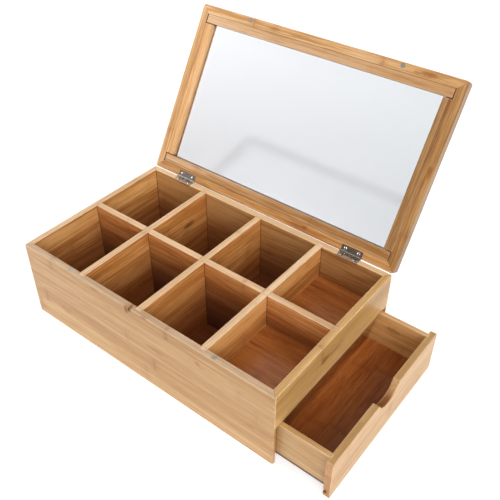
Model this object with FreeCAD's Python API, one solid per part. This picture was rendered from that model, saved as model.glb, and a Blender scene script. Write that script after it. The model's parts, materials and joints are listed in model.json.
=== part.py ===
import FreeCAD, Part
import math
import os

# Bamboo tea bag box with eight open cells, a framed glass lid and an end drawer.
# Millimetres. X runs along the box to the drawer end, Y to the hinge side, Z up.
# The origin is the middle of the underside. The lid stands open and the drawer is pulled out.

os.makedirs("parts", exist_ok=True)
Vector = FreeCAD.Vector

# Case
case_length = 340.0
case_width = 205.0
case_height = 97.5
wall_board = 7.5
base_board = 5.4
shelf_board = 3.0
drawer_opening_height = 52.8
panel_housing = 3.5
case_corner = 2.2
rim_edge = 1.7
board_edge = 0.9
foot_edge = 0.5

# Dividers
divider_board = 7.5
divider_housing = 3.5
cell_columns = 4
cross_names = ["left", "middle", "right"]

# Drawer
drawer_front_board = 7.5
drawer_side_board = 5.5
drawer_back_board = 5.5
drawer_bottom_board = 3.0
drawer_pulled_out = 61.0
drawer_front_lap = 4.3
drawer_front_gap = 0.4
drawer_side_gap = 1.0
drawer_back_gap = 1.0
drawer_top_gap = 1.0
drawer_slide_gap = 0.3
side_housing = 2.0
bottom_groove_depth = 4.0
bottom_groove_play = 1.4
bottom_tongue_play = 0.4
bottom_side_inset = 0.8
side_edge = 0.6
scoop_radius = 20.0
scoop_depth = 13.5
scoop_shoulder = 3.0
scoop_edge = 0.7

# Lid
lid_board = 12.0
lid_frame_width = 20.0
lid_corner = 3.0
lid_edge = 1.1
lid_gap = 0.3
lid_open_angle = 120.5
bead_width = 10.0
bead_height = 7.2
bead_edge = 0.5
bead_end_gap = 1.0
bead_joint_gap = 0.9
pane_thickness = 2.0
pane_play = 0.6

# Magnets
magnet_radius = 2.5
magnet_length = 3.0
magnet_from_divider = 15.375
magnet_sink = 0.15
magnet_play = 0.05

# Hinges
hinge_from_end = 51.5
hinge_width = 25.6
leaf_thickness = 1.0
leaf_sink = 0.6
leaf_end_play = 0.3
case_leaf_reach = 8.5
lid_leaf_reach = 7.6
leaf_corner = 1.6
knuckle_radius = 1.8
knuckle_gap = 0.2
knuckle_count = 5
hinge_axis_out = 0.2
barrel_clearance = 0.3
pin_radius = 0.8
pin_play = 0.05
pin_head_radius = 1.3
pin_head_length = 0.5
stop_fin_length = 2.0
stop_fin_thickness = 0.9
stop_fin_width = 1.8
stop_fin_gap = 0.12
stop_fin_clearance = 0.25
stop_rest_angle = 65.0

# Hinge screws
screw_head_radius = 1.7
screw_head_height = 0.85
screw_dome = 0.5
screw_shank_radius = 0.8
screw_length = 5.0
screw_spacing = 16.4
screw_from_root = 2.1
screw_play = 0.05
screw_slot_length = 2.2
screw_slot_width = 0.45
screw_slot_depth = 0.35

# One overrun serves every cut, and places closer than this are the same.
over = 5.0
same_place = 0.0001

# Places worked out from the sizes above
half_length = case_length / 2
half_width = case_width / 2
inner_half_length = half_length - wall_board
inner_half_width = half_width - wall_board
cell_pitch = (2 * inner_half_length + divider_board) / cell_columns
cross_places = [-2 * cell_pitch + cell_pitch * (index + 1) for index in range(cell_columns - 1)]
bay_place = cross_places[-1]
bay_back = bay_place + divider_board / 2
shelf_top = drawer_opening_height + shelf_board
deep_lap = (base_board + case_height) / 2
shallow_lap = (shelf_top + case_height) / 2
front_board_inside = half_length - drawer_front_board
rebate_start = front_board_inside - drawer_front_gap
front_lip = wall_board - drawer_front_lap
drawer_front_half = half_width - front_lip - drawer_front_gap
drawer_outer_half = inner_half_width - drawer_side_gap
drawer_back_face = bay_back + drawer_back_gap
drawer_floor = base_board + drawer_slide_gap
drawer_side_foot = drawer_floor + drawer_bottom_board
drawer_top = drawer_opening_height - drawer_top_gap
drawer_front_foot = drawer_front_gap
lid_face = case_height + lid_gap
rabbet_edge = lid_frame_width - bead_width
rabbet_depth = bead_height + pane_thickness
hinge_y = half_width + hinge_axis_out
hinge_z = case_height + lid_gap / 2
case_leaf_inner_y = hinge_y - case_leaf_reach
lid_leaf_inner_y = hinge_y - lid_leaf_reach
leaf_root_y = hinge_y - knuckle_radius - barrel_clearance
leaf_mortise = leaf_thickness + leaf_sink
screw_y = leaf_root_y - screw_from_root
rim_middle_y = half_width - wall_board / 2


def block(x0, x1, y0, y1, z0, z1):
    """Rectangular board between two corners."""
    return Part.makeBox(x1 - x0, y1 - y0, z1 - z0, Vector(x0, y0, z0))


def rod(radius, length, start, direction):
    """Round bar from a start point."""
    return Part.makeCylinder(radius, length, start, direction)


def soften(shape, radius, chosen):
    """Rounds the edges of a solid for which chosen(box of the edge) is true."""
    edges = [edge for edge in shape.Edges if chosen(edge.BoundBox)]
    return shape.makeFillet(radius, edges)


def near(a, b):
    """True where two places are the same."""
    return abs(a - b) < same_place


def plan_prism(points, z0, z1):
    """Upright prism over a closed plan outline."""
    corners = [Vector(x, y, z0) for x, y in points]
    face = Part.Face(Part.makePolygon(corners + corners[:1]))
    return face.extrude(Vector(0, 0, z1 - z0))


def mitre_prism(side, half_x, half_y, reach, z0, z1):
    """Space of one board of a mitred frame: front, back, left or right."""
    far_x = half_x + over
    far_y = half_y + over
    near_x = half_x - reach
    near_y = half_y - reach
    outlines = {
        "front": [(-far_x, -far_y), (far_x, -far_y), (near_x, -near_y), (-near_x, -near_y)],
        "back": [(-far_x, far_y), (-near_x, near_y), (near_x, near_y), (far_x, far_y)],
        "left": [(-far_x, -far_y), (-near_x, -near_y), (-near_x, near_y), (-far_x, far_y)],
        "right": [(far_x, -far_y), (far_x, far_y), (near_x, near_y), (near_x, -near_y)],
    }
    return plan_prism(outlines[side], z0, z1)


def open_lid(shape):
    """Swings a shut lid piece to where the lid rests on its hinge stops."""
    turned = shape.copy()
    turned.rotate(Vector(0, hinge_y, hinge_z), Vector(-1, 0, 0), lid_open_angle)
    return turned


def pull_out(shape):
    """Slides a shut drawer piece to where the drawer stands."""
    moved = shape.copy()
    moved.translate(Vector(drawer_pulled_out, 0, 0))
    return moved


def save(shape, node):
    """Writes one sub-part."""
    shape.exportStep("parts/" + node + ".step")


# Magnets: a round one at each side of the front rim and its partner in the lid

def magnet(x, z0, play):
    """Disc, or with play the hole that it sits in."""
    return rod(magnet_radius + play, magnet_length + play, Vector(x, -rim_middle_y, z0), Vector(0, 0, 1))


magnet_places = {"left": cross_places[0] - magnet_from_divider, "right": bay_place + magnet_from_divider}
case_magnet_foot = case_height - magnet_sink - magnet_length
lid_magnet_foot = lid_face + magnet_sink


# Hinge screws

def screw(x, y, z, up, play):
    """Countersunk screw with a low dome on its head at height z, or with play its hole. up is 1 or -1."""
    head_way = Vector(0, 0, -up)
    head = Part.makeCone(
        screw_head_radius + play,
        screw_shank_radius + play,
        screw_head_height,
        Vector(x, y, z),
        head_way,
    )
    shank = rod(screw_shank_radius + play, screw_length + play, Vector(x, y, z), head_way)
    solid = head.fuse(shank).removeSplitter()
    if play:
        return solid
    dome_radius = (screw_head_radius ** 2 + screw_dome ** 2) / (2 * screw_dome)
    ball = Part.makeSphere(dome_radius, Vector(x, y, z - up * (dome_radius - screw_dome)))
    room = screw_head_radius + over
    dome = ball.common(block(x - room, x + room, y - room, y + room, min(z, z + up * over), max(z, z + up * over)))
    solid = solid.fuse(dome)
    half_slot = screw_slot_length / 2
    half_cut = screw_slot_width / 2
    low = min(z - up * screw_slot_depth, z + up * over)
    high = max(z - up * screw_slot_depth, z + up * over)
    slot = block(x - half_slot, x + half_slot, y - half_cut, y + half_cut, low, high)
    cross = block(x - half_cut, x + half_cut, y - half_slot, y + half_slot, low, high)
    return solid.cut(slot.fuse(cross))


# Hinges: two leaves let into the rim and the lid, five knuckles on one pin and a stop behind

knuckle_pitch = (hinge_width + knuckle_gap) / knuckle_count
hinge_places = {"left": -half_length + hinge_from_end, "right": half_length - hinge_from_end}
case_leaf_top = case_height - leaf_sink
case_leaf_foot = case_leaf_top - leaf_thickness
lid_leaf_foot = lid_face + leaf_sink
lid_leaf_top = lid_leaf_foot + leaf_thickness


def knuckle_span(centre, index):
    """Start and end of one knuckle along the pin."""
    start = centre - hinge_width / 2 + index * knuckle_pitch
    return start, start + knuckle_pitch - knuckle_gap


def stop_fin(x0, x1, inner, angle, side):
    """Small plate that stands out of the barrel at an angle below level, on one side of its radius."""
    edge0 = 0 if side > 0 else -stop_fin_thickness
    fin = block(x0, x1, inner, knuckle_radius + stop_fin_length, edge0, edge0 + stop_fin_thickness)
    fin.translate(Vector(0, hinge_y, hinge_z))
    fin.rotate(Vector(0, hinge_y, hinge_z), Vector(-1, 0, 0), angle)
    return fin


def leaf(centre, inner_y, z0, z1, mine):
    """Plate with its own knuckles on the barrel."""
    half = hinge_width / 2
    plate = block(centre - half, centre + half, inner_y, leaf_root_y, z0, z1)
    plate = soften(
        plate,
        leaf_corner,
        lambda b: near(b.YMax, inner_y) and near(b.XMin, b.XMax) and not near(b.ZMin, b.ZMax),
    )
    for index in mine:
        start, end = knuckle_span(centre, index)
        plate = plate.fuse(block(start, end, leaf_root_y - knuckle_gap, hinge_y, z0, z1))
        plate = plate.fuse(rod(knuckle_radius, end - start, Vector(start, hinge_y, hinge_z), Vector(1, 0, 0)))
    return plate


def bore_leaf(shape, centre):
    """Cuts the pin's hole through all knuckles of a leaf."""
    start = Vector(centre - hinge_width / 2 - over, hinge_y, hinge_z)
    return shape.cut(rod(pin_radius + pin_play, hinge_width + 2 * over, start, Vector(1, 0, 0))).removeSplitter()


def screw_places(centre):
    return [centre - screw_spacing / 2, centre + screw_spacing / 2]


def case_leaf(centre):
    """Leaf in the rim, with a fin that the lid's fins come to rest on."""
    shape = leaf(centre, case_leaf_inner_y, case_leaf_foot, case_leaf_top, [0, 2, 4])
    start, end = knuckle_span(centre, 2)
    clear = knuckle_radius + stop_fin_clearance
    reach = stop_fin_width + knuckle_gap
    shape = shape.fuse(stop_fin(start, end, 0, stop_rest_angle, -1))
    shape = shape.fuse(stop_fin(start - reach, end + reach, clear, stop_rest_angle, -1))
    shape = bore_leaf(shape, centre)
    for x in screw_places(centre):
        shape = shape.cut(screw(x, screw_y, case_leaf_top, 1, screw_play))
    return shape


def lid_leaf(centre):
    """Leaf in the lid, shut, with two fins turned back by the lid's swing."""
    shape = leaf(centre, lid_leaf_inner_y, lid_leaf_foot, lid_leaf_top, [1, 3])
    radius = knuckle_radius + stop_fin_length / 2
    gap_angle = math.degrees(stop_fin_gap / radius)
    shut_angle = stop_rest_angle - gap_angle - lid_open_angle
    end = knuckle_span(centre, 1)[1]
    start = knuckle_span(centre, 3)[0]
    shape = shape.fuse(stop_fin(end - stop_fin_width, end, 0, shut_angle, 1))
    shape = shape.fuse(stop_fin(start, start + stop_fin_width, 0, shut_angle, 1))
    shape = bore_leaf(shape, centre)
    for x in screw_places(centre):
        shape = shape.cut(screw(x, screw_y, lid_leaf_foot, -1, screw_play))
    return shape


def hinge_pin(centre):
    """Pin with a small head at each end."""
    start = centre - hinge_width / 2
    along = Vector(1, 0, 0)
    length = hinge_width + 2 * knuckle_gap
    shaft = rod(pin_radius, length, Vector(start - knuckle_gap, hinge_y, hinge_z), along)
    low_head = Vector(start - knuckle_gap - pin_head_length, hinge_y, hinge_z)
    high_head = Vector(start + hinge_width + knuckle_gap, hinge_y, hinge_z)
    shaft = shaft.fuse(rod(pin_head_radius, pin_head_length, low_head, along))
    return shaft.fuse(rod(pin_head_radius, pin_head_length, high_head, along)).removeSplitter()


def hinge_mortise(centre, inner_y, z_face, up):
    """Space for one leaf and half the barrel in the rim (up 1) or the lid (up -1)."""
    half = hinge_width / 2 + leaf_end_play
    room = knuckle_radius + barrel_clearance
    barrel_half = hinge_width / 2 + knuckle_gap + pin_head_length + leaf_end_play
    leaf_low = min(z_face - up * leaf_mortise, z_face + up * over)
    leaf_high = max(z_face - up * leaf_mortise, z_face + up * over)
    pocket = block(centre - half, centre + half, inner_y, half_width + over, leaf_low, leaf_high)
    barrel_low = min(hinge_z - up * room, z_face + up * over)
    barrel_high = max(hinge_z - up * room, z_face + up * over)
    groove = block(
        centre - barrel_half,
        centre + barrel_half,
        leaf_root_y,
        half_width + over,
        barrel_low,
        barrel_high,
    )
    return pocket.fuse(groove)


# Dividers, half lapped where they cross and housed in the walls

def divider(x0, x1, y0, y1, z0):
    """Upright board with its two long top edges softened."""
    board = block(x0, x1, y0, y1, z0, case_height)
    along_x = (x1 - x0) > (y1 - y0)

    def long_top_edge(b):
        flat = near(b.ZMin, case_height) and near(b.ZMax, case_height)
        return flat and (b.XLength if along_x else b.YLength) > divider_board + over

    return soften(board, board_edge, long_top_edge)


def cross_divider_space(place):
    half = divider_board / 2
    reach = inner_half_width + divider_housing
    return block(place - half, place + half, -reach, reach, base_board, case_height + over)


def long_divider_space():
    half = divider_board / 2
    reach = inner_half_length + divider_housing
    space = block(-reach, reach, -half, half, base_board, case_height + over)
    return space.cut(block(bay_back, reach + over, -half, half, 0, shelf_top))


def lap_height(place):
    """Height at which the two boards of a crossing meet; higher over the drawer's back."""
    return shallow_lap if place == bay_place else deep_lap


def cross_divider(place):
    """Cross board, slotted from below for the long one."""
    half = divider_board / 2
    reach = inner_half_width + divider_housing
    board = divider(place - half, place + half, -reach, reach, base_board)
    return board.cut(block(place - half - over, place + half + over, -half, half, 0, lap_height(place)))


def long_divider():
    """Long board, slotted from above for the cross boards and cut away over the drawer."""
    half = divider_board / 2
    reach = inner_half_length + divider_housing
    board = divider(-reach, reach, -half, half, base_board)
    for place in cross_places:
        low = lap_height(place)
        slot = block(place - half, place + half, -half - over, half + over, low, case_height + over)
        board = board.cut(slot)
    board = board.cut(shelf_panel())
    return board.cut(block(bay_back, reach + over, -half - over, half + over, 0, shelf_top))


# Base and the drawer bay's roof, which is the floor of the two shallow cells

base_reach_y = inner_half_width + panel_housing
base_left = -inner_half_length - panel_housing
base_right = rebate_start - drawer_front_gap
shelf_left = bay_back - panel_housing
shelf_right = inner_half_length + panel_housing


def base_space():
    return block(base_left, base_right, -base_reach_y, base_reach_y, -over, base_board)


def base_panel():
    return block(base_left, base_right, -base_reach_y, base_reach_y, 0, base_board)


def shelf_panel():
    return block(shelf_left, shelf_right, -base_reach_y, base_reach_y, drawer_opening_height, shelf_top)


# Case walls: one softened ring, parted at the mitres

def square_arris(z_face, up):
    """Wood that keeps the back arris square between the hinges, where the case and the lid meet."""
    reach = 2 * rim_edge
    low = min(z_face, z_face + up * reach)
    high = max(z_face, z_face + up * reach)
    return block(hinge_places["left"], hinge_places["right"], half_width - reach, half_width, low, high)


def case_ring():
    """All four walls as one body with rounded corners and softened rims."""
    outside = block(-half_length, half_length, -half_width, half_width, 0, case_height)
    outside = soften(outside, case_corner, lambda b: near(b.XLength, 0) and near(b.YLength, 0))
    outside = soften(outside, rim_edge, lambda b: near(b.ZMin, case_height))
    outside = soften(outside, foot_edge, lambda b: near(b.ZMax, 0))
    outside = outside.fuse(square_arris(case_height, -1)).removeSplitter()
    inside = block(
        -inner_half_length,
        inner_half_length,
        -inner_half_width,
        inner_half_width,
        -over,
        case_height + over,
    )
    ring = outside.cut(inside)

    def inner_rim(b):
        flat = near(b.ZMin, case_height) and near(b.ZMax, case_height)
        within = b.XMax < inner_half_length + foot_edge and b.YMax < inner_half_width + foot_edge
        return flat and within and b.XMin > -inner_half_length - foot_edge and b.YMin > -inner_half_width - foot_edge

    return soften(ring, board_edge, inner_rim)


def long_wall(ring, side):
    """Front or back wall: mitred, but square below the end panel, with a rebate for the drawer front."""
    way = -1 if side == "front" else 1
    upper = mitre_prism(side, half_length, half_width, 2 * wall_board, -over, case_height + over)
    edge_a = way * (half_width + over)
    edge_b = way * inner_half_width
    corner = block(
        inner_half_length - over,
        half_length + over,
        min(edge_a, edge_b),
        max(edge_a, edge_b),
        -over,
        drawer_opening_height,
    )
    wall = ring.common(upper.fuse(corner))
    lip = way * (half_width - front_lip)
    inner = way * (inner_half_width - over)
    rebate = block(
        rebate_start,
        half_length + over,
        min(lip, inner),
        max(lip, inner),
        -over,
        drawer_opening_height,
    )
    wall = wall.cut(rebate).cut(base_space()).cut(shelf_panel())
    for place in cross_places:
        wall = wall.cut(cross_divider_space(place))
    return wall


def front_wall(ring):
    wall = long_wall(ring, "front")
    for x in magnet_places.values():
        wall = wall.cut(magnet(x, case_magnet_foot - magnet_play, magnet_play))
        wall = wall.cut(magnet(x, case_magnet_foot + magnet_sink, magnet_play))
    return wall


def back_wall(ring):
    wall = long_wall(ring, "back")
    for centre in hinge_places.values():
        wall = wall.cut(hinge_mortise(centre, inner_half_width - over, case_height, 1))
        for x in screw_places(centre):
            wall = wall.cut(screw(x, screw_y, case_leaf_top, 1, screw_play))
    return wall


def left_wall(ring):
    prism = mitre_prism("left", half_length, half_width, 2 * wall_board, -over, case_height + over)
    return ring.common(prism).cut(base_space()).cut(long_divider_space())


def right_end_panel(ring):
    """Short upper end board over the drawer's opening."""
    above = block(
        inner_half_length - over,
        half_length + over,
        -half_width - over,
        half_width + over,
        drawer_opening_height,
        case_height + over,
    )
    panel = ring.common(above)
    panel = soften(
        panel,
        foot_edge,
        lambda b: near(b.ZMin, drawer_opening_height)
        and near(b.ZMax, drawer_opening_height)
        and near(b.XMin, half_length),
    )
    prism = mitre_prism("right", half_length, half_width, 2 * wall_board, -over, case_height + over)
    return panel.common(prism).cut(shelf_panel()).cut(long_divider_space())


# Lid: a mitred frame, the pane in its rabbet and four glazing beads

def lid_ring():
    """All four frame boards as one body, shut, with the rabbet cut from below."""
    top = lid_face + lid_board
    outside = block(-half_length, half_length, -half_width, half_width, lid_face, top)
    outside = soften(outside, lid_corner, lambda b: near(b.XLength, 0) and near(b.YLength, 0))
    outside = soften(outside, lid_edge, lambda b: near(b.ZMin, top))
    outside = soften(outside, board_edge, lambda b: near(b.ZMax, lid_face))
    outside = outside.fuse(square_arris(lid_face, 1)).removeSplitter()
    window_x = half_length - lid_frame_width
    window_y = half_width - lid_frame_width
    window = block(-window_x, window_x, -window_y, window_y, lid_face - over, top + over)
    rabbet_x = half_length - rabbet_edge
    rabbet_y = half_width - rabbet_edge
    rabbet = block(-rabbet_x, rabbet_x, -rabbet_y, rabbet_y, lid_face - over, lid_face + rabbet_depth)
    ring = outside.cut(window).cut(rabbet)

    def window_rim(b):
        flat = near(b.ZMin, top) and near(b.ZMax, top)
        return flat and abs(b.XMin) < window_x + foot_edge and abs(b.YMin) < window_y + foot_edge

    return soften(ring, board_edge, window_rim)


def lid_board_piece(ring, side):
    prism = mitre_prism(side, half_length, half_width, lid_frame_width + over, lid_face - over, lid_face + 2 * lid_board)
    board = ring.common(prism)
    if side == "front":
        for x in magnet_places.values():
            board = board.cut(magnet(x, lid_magnet_foot, magnet_play))
            board = board.cut(magnet(x, lid_face - magnet_sink, magnet_play))
    if side == "back":
        for centre in hinge_places.values():
            board = board.cut(hinge_mortise(centre, lid_leaf_inner_y - leaf_end_play, lid_face, -1))
            for x in screw_places(centre):
                board = board.cut(screw(x, screw_y, lid_leaf_foot, -1, screw_play))
    return board


def pane():
    x = half_length - rabbet_edge - pane_play
    y = half_width - rabbet_edge - pane_play
    foot = lid_face + bead_height
    return block(-x, x, -y, y, foot, foot + pane_thickness)


def bead(side):
    """Glazing bead: the long ones run the whole rabbet, the short ones between them."""
    long_x = half_length - rabbet_edge - bead_end_gap
    outer_x = half_length - rabbet_edge
    outer_y = half_width - rabbet_edge
    inner_x = outer_x - bead_width
    inner_y = outer_y - bead_width
    short_y = inner_y - bead_joint_gap
    top = lid_face + bead_height
    spans = {
        "front": (-long_x, long_x, -outer_y, -inner_y),
        "back": (-long_x, long_x, inner_y, outer_y),
        "left": (-outer_x, -inner_x, -short_y, short_y),
        "right": (inner_x, outer_x, -short_y, short_y),
    }
    x0, x1, y0, y1 = spans[side]
    strip = block(x0, x1, y0, y1, lid_face, top)
    return soften(strip, bead_edge, lambda b: near(b.ZMin, lid_face) and near(b.ZMax, lid_face))


# Drawer, shut: a front with a finger scoop, two sides, a back and a thin bottom below them

def drawer_side(way):
    y0 = way * drawer_outer_half
    y1 = way * (drawer_outer_half - drawer_side_board)
    low = min(y0, y1)
    high = max(y0, y1)
    board = block(
        drawer_back_face,
        front_board_inside + side_housing,
        low,
        high,
        drawer_side_foot,
        drawer_top,
    )
    return soften(
        board,
        side_edge,
        lambda b: near(b.ZMin, drawer_top) and near(b.ZMax, drawer_top) and b.XLength > drawer_side_board + over,
    )


def drawer_side_space(way):
    y0 = way * drawer_outer_half
    y1 = way * (drawer_outer_half - drawer_side_board)
    return block(
        front_board_inside - over,
        front_board_inside + side_housing,
        min(y0, y1),
        max(y0, y1),
        drawer_side_foot,
        drawer_top + over,
    )


def scoop_space():
    """Round finger scoop with eased shoulders, from above the front board's top edge."""
    rise = scoop_radius - scoop_depth
    shoulder_y = math.sqrt((scoop_radius + scoop_shoulder) ** 2 - (rise + scoop_shoulder) ** 2)
    share = scoop_radius / (scoop_radius + scoop_shoulder)
    touch_y = shoulder_y * share
    touch_z = drawer_top + rise - (rise + scoop_shoulder) * share
    half_turn = math.acos((rise + scoop_shoulder) / (scoop_radius + scoop_shoulder)) / 2
    middle_in = scoop_shoulder * math.sin(half_turn)
    middle_down = scoop_shoulder * (1 - math.cos(half_turn))
    x = front_board_inside - over
    top = drawer_top + over

    def point(y, z):
        return Vector(x, y, z)

    def shoulder(way):
        start = point(way * shoulder_y, drawer_top)
        middle = point(way * (shoulder_y - middle_in), drawer_top - middle_down)
        return start, middle, point(way * touch_y, touch_z)

    left_start, left_middle, left_end = shoulder(-1)
    right_start, right_middle, right_end = shoulder(1)
    edges = [
        Part.LineSegment(point(-shoulder_y, top), left_start).toShape(),
        Part.Arc(left_start, left_middle, left_end).toShape(),
        Part.Arc(left_end, point(0, drawer_top - scoop_depth), right_end).toShape(),
        Part.Arc(right_end, right_middle, right_start).toShape(),
        Part.LineSegment(right_start, point(shoulder_y, top)).toShape(),
        Part.LineSegment(point(shoulder_y, top), point(-shoulder_y, top)).toShape(),
    ]
    face = Part.Face(Part.Wire(edges))
    return face.extrude(Vector(drawer_front_board + 2 * over, 0, 0))


def drawer_front():
    """Front board: softened outside, scooped, housed for the sides and grooved for the bottom."""
    board = block(
        front_board_inside,
        half_length,
        -drawer_front_half,
        drawer_front_half,
        drawer_front_foot,
        drawer_top,
    )
    board = board.cut(scoop_space())

    def rim(b):
        outside = near(b.XMin, half_length) and near(b.XMax, half_length)
        inside_top = near(b.XMin, front_board_inside) and near(b.XMax, front_board_inside)
        return outside or (inside_top and b.ZMax > drawer_front_foot + over)

    board = soften(board, scoop_edge, rim)
    groove = block(
        front_board_inside - over,
        front_board_inside + bottom_groove_depth,
        -half_width,
        half_width,
        drawer_side_foot - drawer_bottom_board - bottom_groove_play,
        drawer_side_foot,
    )
    return board.cut(groove).cut(drawer_side_space(-1)).cut(drawer_side_space(1))


def drawer_back():
    half = drawer_outer_half - drawer_side_board
    board = block(
        drawer_back_face,
        drawer_back_face + drawer_back_board,
        -half,
        half,
        drawer_side_foot,
        drawer_top,
    )
    return soften(
        board,
        side_edge,
        lambda b: near(b.ZMin, drawer_top) and near(b.ZMax, drawer_top) and b.YLength > drawer_side_board + over,
    )


def drawer_bottom():
    half = drawer_outer_half - bottom_side_inset
    return block(
        drawer_back_face,
        front_board_inside + bottom_groove_depth - bottom_tongue_play,
        -half,
        half,
        drawer_floor,
        drawer_side_foot,
    )


# Case
ring = case_ring()
save(front_wall(ring), "front_wall")
save(back_wall(ring), "back_wall")
save(left_wall(ring), "left_wall")
save(right_end_panel(ring), "right_end_panel")
save(base_panel(), "base_panel")
save(shelf_panel(), "drawer_bay_shelf")
save(long_divider(), "long_divider")
for name, place in zip(cross_names, cross_places):
    board = cross_divider(place)
    if place == bay_place:
        board = board.cut(shelf_panel())
    save(board, "cross_divider_" + name)
for name, x in magnet_places.items():
    save(magnet(x, case_magnet_foot, 0), "case_magnet_" + name)

# Hinges
for name, centre in hinge_places.items():
    save(case_leaf(centre), "hinge_" + name + "_case_leaf")
    save(open_lid(lid_leaf(centre)), "hinge_" + name + "_lid_leaf")
    save(hinge_pin(centre), "hinge_" + name + "_pin")
    case_screws = [screw(x, screw_y, case_leaf_top, 1, 0) for x in screw_places(centre)]
    lid_screws = [open_lid(screw(x, screw_y, lid_leaf_foot, -1, 0)) for x in screw_places(centre)]
    save(Part.makeCompound(case_screws), "hinge_" + name + "_case_screws")
    save(Part.makeCompound(lid_screws), "hinge_" + name + "_lid_screws")

# Lid
frame = lid_ring()
board_names = {"front": "lid_front_rail", "back": "lid_back_rail", "left": "lid_left_stile", "right": "lid_right_stile"}
for side, node in board_names.items():
    save(open_lid(lid_board_piece(frame, side)), node)
    save(open_lid(bead(side)), "glazing_bead_" + side)
save(open_lid(pane()), "lid_pane")
for name, x in magnet_places.items():
    save(open_lid(magnet(x, lid_magnet_foot, 0)), "lid_magnet_" + name)

# Drawer
save(pull_out(drawer_front()), "drawer_front")
save(pull_out(drawer_side(-1)), "drawer_near_side")
save(pull_out(drawer_side(1)), "drawer_far_side")
save(pull_out(drawer_back()), "drawer_back")
save(pull_out(drawer_bottom()), "drawer_bottom")
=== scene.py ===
from dataclasses import dataclass
import json
import math

import bpy
from mathutils import Matrix, Vector

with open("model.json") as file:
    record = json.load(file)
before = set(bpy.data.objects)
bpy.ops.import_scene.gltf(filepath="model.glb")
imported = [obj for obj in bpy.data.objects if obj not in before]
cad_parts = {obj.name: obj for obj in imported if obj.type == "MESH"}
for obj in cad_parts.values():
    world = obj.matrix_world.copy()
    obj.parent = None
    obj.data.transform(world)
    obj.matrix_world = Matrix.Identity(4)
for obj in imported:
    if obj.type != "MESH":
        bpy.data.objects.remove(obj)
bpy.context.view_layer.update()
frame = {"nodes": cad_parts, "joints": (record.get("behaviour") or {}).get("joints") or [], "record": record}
nodes = frame["nodes"]

# Sizes and places of the shut box, taken from the frame. x runs along the case, y across it and z up

MM = 0.001
lid_hinge = next(joint for joint in frame["joints"] if joint["name"] == "lid_hinge")
HINGE_AXIS = Vector(lid_hinge["pos_m"])
LID_OPEN = math.radians(lid_hinge["range_deg"][1] - lid_hinge["range_deg"][0])
LID_NODES = frame["record"]["behaviour"]["bodies"]["lid"]


def shut_box(node):
    """Lowest and highest corner of a CAD node in metres.
    The lid's nodes are turned back to where they are when it is shut."""
    points = [v.co.copy() for v in nodes[node].data.vertices]
    if node in LID_NODES:
        back = Matrix.Rotation(LID_OPEN, 3, "X")
        points = [back @ (p - HINGE_AXIS) + HINGE_AXIS for p in points]
    return [Vector([pick(p[i] for p in points) for i in range(3)]) for pick in (min, max)]


def span(node, axis):
    """Where a CAD node starts and ends along one axis, in millimetres."""
    return [corner["xyz".index(axis)] / MM for corner in shut_box(node)]


FRONT = span("front_wall", "y")[0]
RIGHT = span("front_wall", "x")[1]
BACK = -FRONT
INNER_X = span("right_end_panel", "x")[0]
INNER_Y = span("back_wall", "y")[0]
MIDDLE_FACE = span("long_divider", "y")[1]
CELL_FACE, BAY_FACE = span("cross_divider_right", "x")
MITRE = RIGHT - BACK  # |x| - |y| on every mitre of the case and the lid
LID_FACE = span("lid_left_stile", "z")[0]
WINDOW_X, RABBET_X = span("glazing_bead_right", "x")
WINDOW_Y, RABBET_Y = span("glazing_bead_back", "y")
LONG_BEAD_END = span("glazing_bead_front", "x")[1]
PANE_FAR_FACE = span("lid_pane", "z")[1]


# Node trees

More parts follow.
